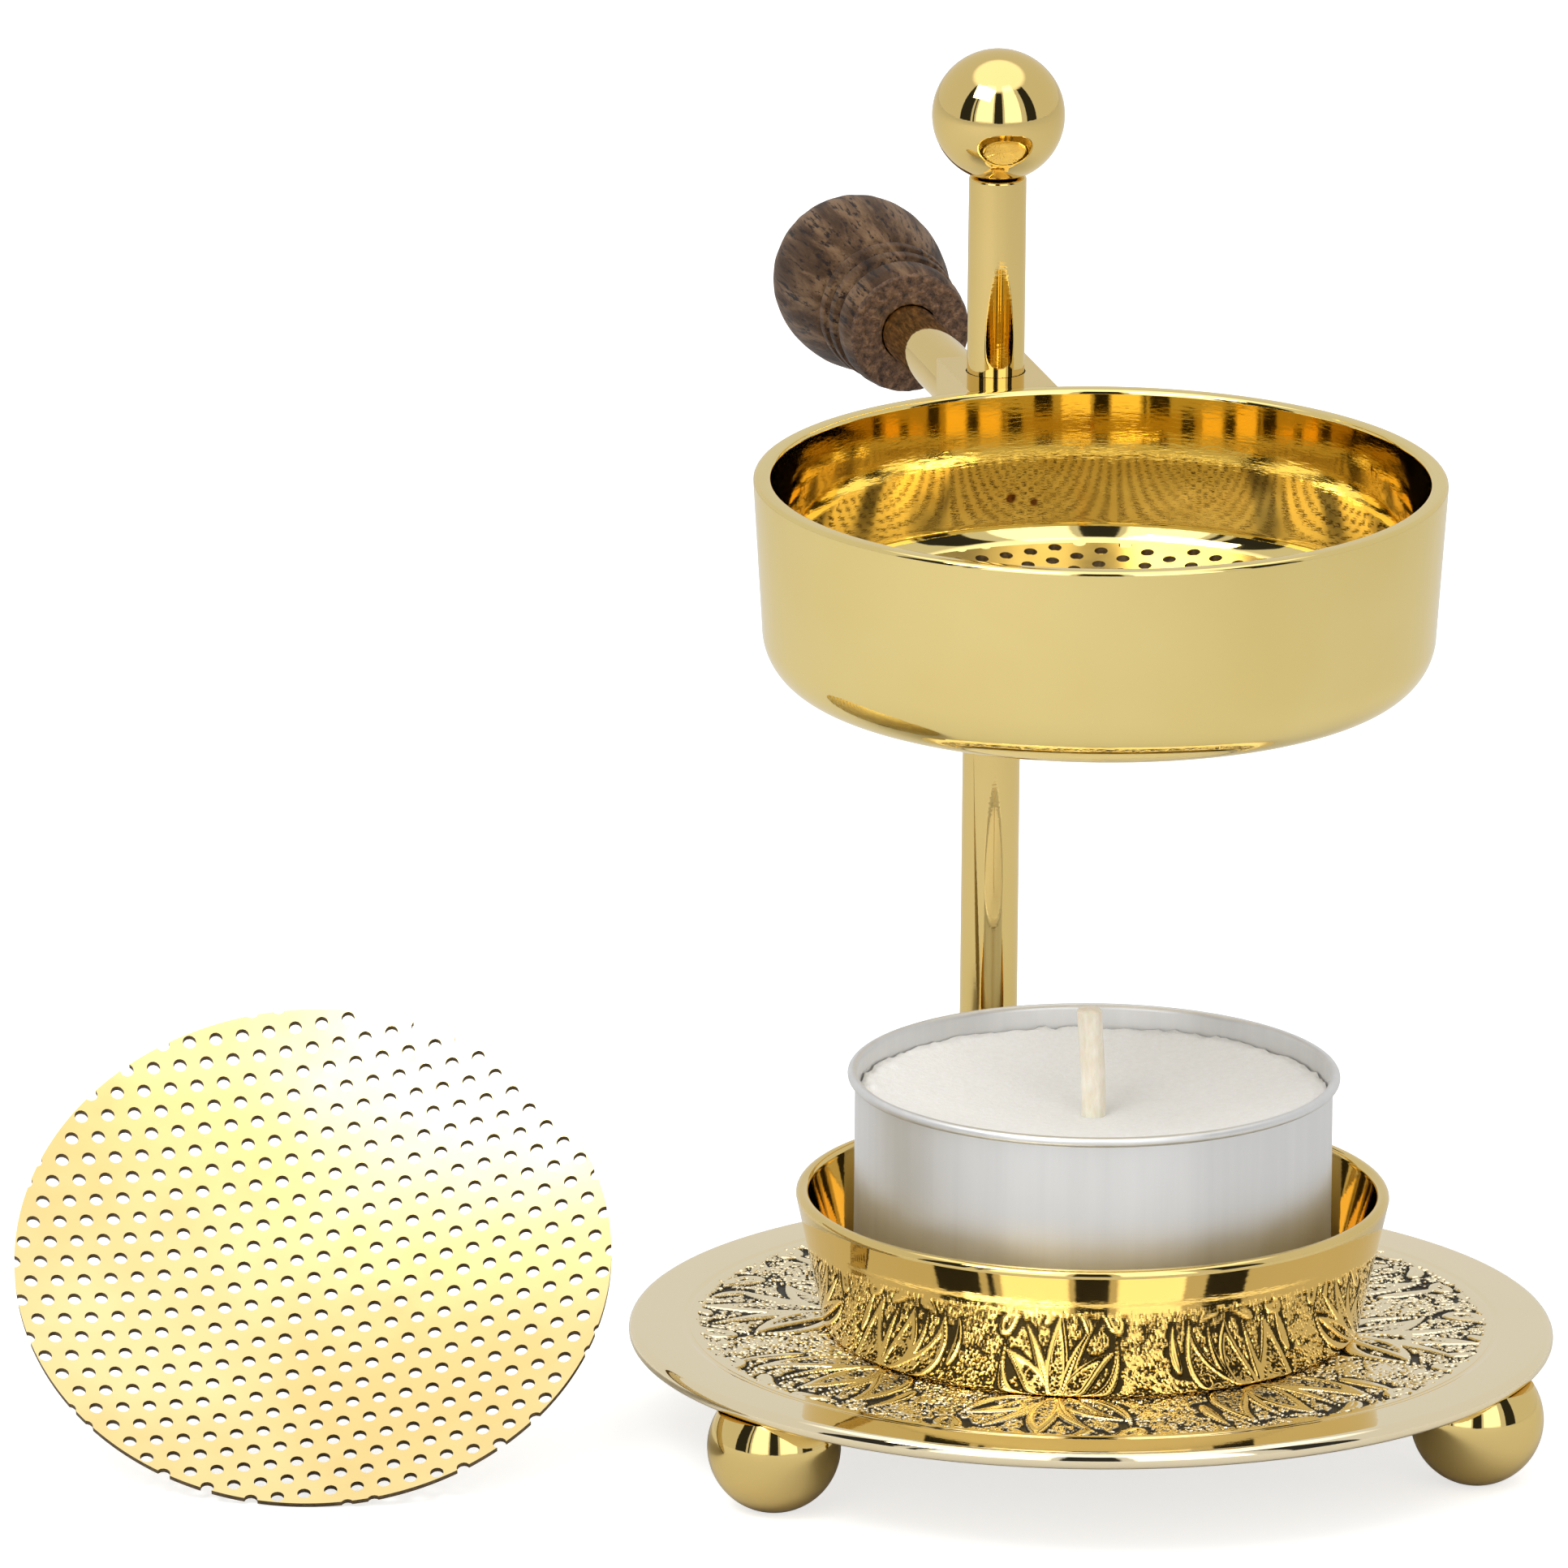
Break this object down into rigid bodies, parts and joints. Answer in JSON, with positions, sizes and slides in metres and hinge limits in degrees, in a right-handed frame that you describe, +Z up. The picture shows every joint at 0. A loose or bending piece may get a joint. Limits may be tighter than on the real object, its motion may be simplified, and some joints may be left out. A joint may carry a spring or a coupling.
{
  "type": "incense burner",
  "caption": "Brass tea-light incense burner: footed engraved base with candle cup, post with ball finial, sliding clamped pan with dished sieve, wooden clamp handle and loose sieve.",
  "frame": {"origin": "floor level under the post, at the centre of the rear foot's flat", "axes": "+Z up along the post; the pan and the base plate lie towards -Y; the clamp rod points along +Y"},
  "size_m": [0.1184, 0.1169, 0.1035],
  "materials": {
    "brass": "polished",
    "steel": "satin",
    "aluminium": "satin",
    "wood": "oiled",
    "wax": "matte",
    "cotton": "matte"
  },
  "bodies": {
    "base": {"base_plate": "brass", "foot_left": "brass", "foot_right": "brass", "foot_rear": "brass", "candle_cup": "brass", "cup_rivet": "brass"},
    "column": {"post": "brass", "finial_stud": "steel", "finial_ball": "brass"},
    "carrier": {"clamp_block": "brass", "bowl": "brass"},
    "pan_sieve": {"sieve": "brass"},
    "screw": {"clamp_rod": "brass"},
    "grip": {"wooden_handle": "wood"},
    "tealight": {"tealight_can": "aluminium", "tealight_wax": "wax", "wick": "cotton", "wick_tab": "steel"},
    "loose_sieve": {"spare_sieve": "brass"}
  },
  "joints": [
    {"name": "column_turn", "type": "hinge", "parent": "base", "child": "column", "pos_m": [0, 0, 0], "axis": [0, 0, 1], "continuous": true},
    {"name": "pan_height", "type": "slide", "parent": "column", "child": "carrier", "axis": [0, 0, 1], "range_m": [-0.022, 0.012]},
    {"name": "screw_travel", "type": "slide", "parent": "carrier", "child": "screw", "axis": [0, 1, 0], "range_m": [0, 0.0016]},
    {"name": "handle_turn", "type": "hinge", "parent": "screw", "child": "grip", "pos_m": [0, 0, 0.07356], "axis": [0, 1, 0], "range_deg": [0, 720]},
    {"name": "pan_sieve_lift", "type": "slide", "parent": "carrier", "child": "pan_sieve", "axis": [0, 0, 1], "range_m": [0, 0.03]},
    {"name": "tealight_lift", "type": "slide", "parent": "base", "child": "tealight", "axis": [0, 0, 1], "range_m": [0, 0.022]},
    {"name": "loose_sieve_lift", "type": "slide", "parent": "base", "child": "loose_sieve", "axis": [0, 0, 1], "range_m": [0, 0.05]}
  ],
  "couplings": [
    {"joint": "handle_turn", "follows": "screw_travel", "rad_per_m": 7854}
  ]
}
